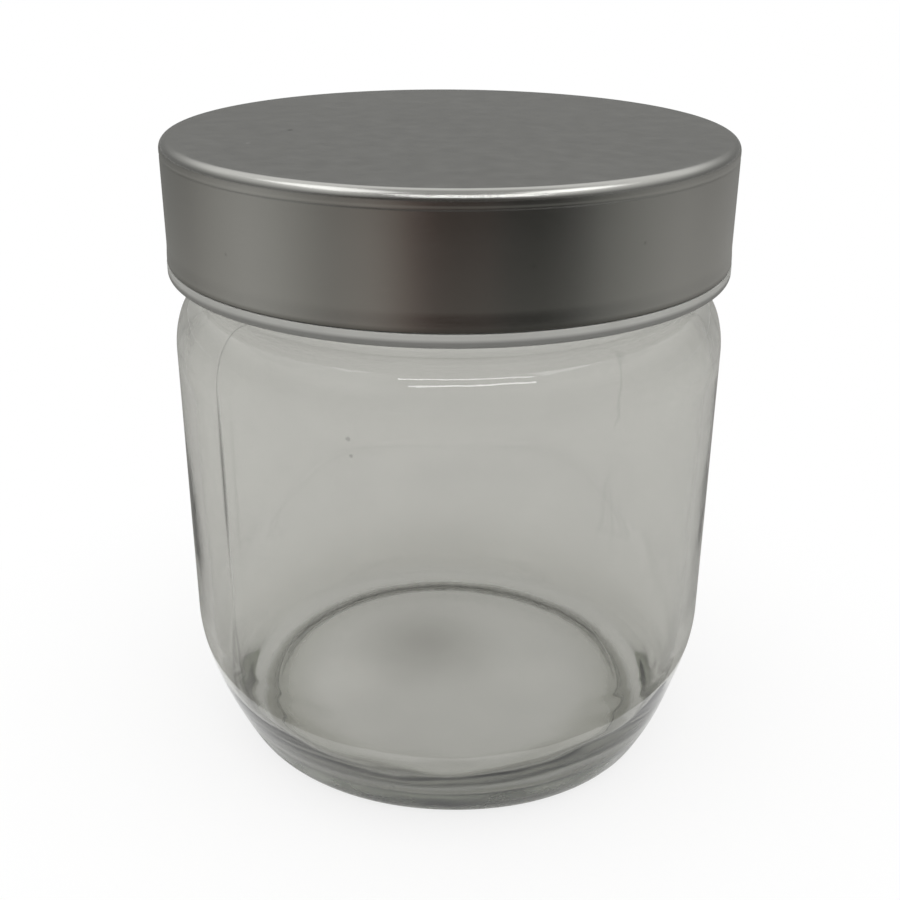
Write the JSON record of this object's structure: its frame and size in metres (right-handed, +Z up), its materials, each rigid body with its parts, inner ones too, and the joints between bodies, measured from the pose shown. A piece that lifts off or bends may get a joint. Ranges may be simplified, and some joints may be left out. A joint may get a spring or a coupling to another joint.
{
  "type": "glass storage jar with screw lid",
  "caption": "Round clear glass storage jar with a rounded shoulder and heel, a threaded neck and a flat brushed metal screw lid over a pale plastic insert.",
  "frame": {"origin": "centre of the jar's resting ring, on the surface that it stands on", "axes": "+Z up along the jar's axis, towards the lid; -Y is the side that the picture shows"},
  "size_m": [0.1004, 0.1004, 0.1155],
  "materials": {
    "glass": "clear pressed soda-lime glass, smooth, faintly rippled at the base",
    "insert_plastic": "pale translucent polypropylene, satin",
    "lid_metal": "fine-brushed stainless steel, satin",
    "seal_foam": "white closed-cell foam, matt"
  },
  "bodies": {
    "jar": {"glass_jar": "glass"},
    "seal": {"sealing_disc": "seal_foam"},
    "lid": {"lid_insert": "insert_plastic", "lid_shell": "lid_metal"}
  },
  "joints": [
    {"name": "lid_lift", "type": "slide", "parent": "jar", "child": "seal", "axis": [0, 0, 1], "range_m": [0, 0.0201]},
    {"name": "lid_turn", "type": "hinge", "parent": "seal", "child": "lid", "pos_m": [0, 0, 0.1039], "axis": [0, 0, 1], "range_deg": [0, 450]}
  ],
  "couplings": [
    {"joint": "lid_lift", "follows": "lid_turn", "m_per_rad": 0.0025465}
  ]
}
